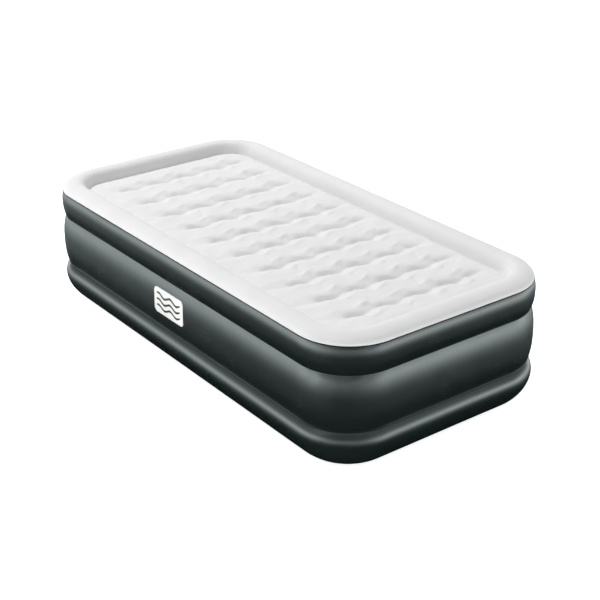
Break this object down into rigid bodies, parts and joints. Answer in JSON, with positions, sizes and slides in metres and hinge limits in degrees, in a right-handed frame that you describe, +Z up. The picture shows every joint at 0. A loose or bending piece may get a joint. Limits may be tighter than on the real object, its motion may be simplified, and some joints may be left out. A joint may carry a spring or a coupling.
{
  "type": "raised air mattress",
  "caption": "Raised inflatable bed with a flocked quilted top in a raised border, pinched waists round its dark walls and a built-in electric pump at the head end.",
  "frame": {"origin": "on the floor, under the middle of the envelope", "axes": "+X along the length towards the foot end, the pump end being -X; +Y across; +Z up"},
  "size_m": [1.9202, 0.9792, 0.4975],
  "materials": {
    "flocked_top": "short velvety flocking on vinyl",
    "dark_vinyl": "smooth satin vinyl",
    "inner_vinyl": "matt vinyl sheet",
    "patch_ink": "printed vinyl patch",
    "pump_shell": "fine spark-textured moulding",
    "pump_trim": "satin moulding",
    "rubber": "matt",
    "steel": "plated"
  },
  "bodies": {
    "envelope": {"base_beam_1": "inner_vinyl", "base_beam_2": "inner_vinyl", "base_beam_3": "inner_vinyl", "base_beam_4": "inner_vinyl", "base_beam_5": "inner_vinyl", "bottom_sheet": "dark_vinyl", "collar_gasket": "rubber", "cord_bin": "pump_shell", "cord_gland": "rubber", "door_hinge_pin": "steel", "faceplate": "pump_shell", "faceplate_screw_1": "steel", "faceplate_screw_2": "steel", "faceplate_screw_3": "steel", "faceplate_screw_4": "steel", "fan_housing": "pump_shell", "flap_hinge_pin": "steel", "lower_divider": "inner_vinyl", "lower_wall": "dark_vinyl", "middle_beam_1": "inner_vinyl", "middle_beam_2": "inner_vinyl", "middle_beam_3": "inner_vinyl", "middle_beam_4": "inner_vinyl", "middle_beam_5": "inner_vinyl", "middle_wall": "dark_vinyl", "motor": "steel", "motor_bracket": "steel", "mounting_collar": "pump_shell", "port_plate": "pump_shell", "pump_housing": "pump_shell", "rim_weld_bead": "dark_vinyl", "side_patch": "patch_ink", "switch_body": "pump_shell", "top_beam_1": "inner_vinyl", "top_beam_10": "inner_vinyl", "top_beam_2": "inner_vinyl", "top_beam_3": "inner_vinyl", "top_beam_4": "inner_vinyl", "top_beam_5": "inner_vinyl", "top_beam_6": "inner_vinyl", "top_beam_7": "inner_vinyl", "top_beam_8": "inner_vinyl", "top_beam_9": "inner_vinyl", "top_sheet": "flocked_top", "upper_divider": "inner_vinyl", "upper_wall": "dark_vinyl", "valve_seat": "pump_shell"},
    "selector": {"selector_knob": "pump_trim", "selector_valve": "pump_shell"},
    "rocker": {"rocker_switch": "pump_trim"},
    "cord_door": {"cord_door": "pump_shell"},
    "fan_rotor": {"impeller": "pump_trim", "motor_shaft": "steel"},
    "check_flap": {"check_valve_flap": "rubber"}
  },
  "joints": [
    {"name": "selector_turn", "type": "hinge", "parent": "envelope", "child": "selector", "pos_m": [-0.9515, 0.2, 0.262], "axis": [-1, 0, 0], "range_deg": [-90, 90]},
    {"name": "rocker_tilt", "type": "hinge", "parent": "envelope", "child": "rocker", "pos_m": [-0.9485, 0.092, 0.298], "axis": [0, 0, 1], "range_deg": [0, 16]},
    {"name": "cord_door_swing", "type": "hinge", "parent": "envelope", "child": "cord_door", "pos_m": [-0.9495, 0.093, 0.2769], "axis": [0, 1, 0], "range_deg": [0, 100]},
    {"name": "fan_spin", "type": "hinge", "parent": "envelope", "child": "fan_rotor", "pos_m": [-0.9, 0.18, 0.262], "axis": [1, 0, 0], "continuous": true},
    {"name": "check_flap_swing", "type": "hinge", "parent": "envelope", "child": "check_flap", "pos_m": [-0.8106, 0.1, 0.2895], "axis": [0, -1, 0], "range_deg": [0, 45], "stiffness_Nm_per_rad": 0.004, "springref_deg": -17.19}
  ]
}
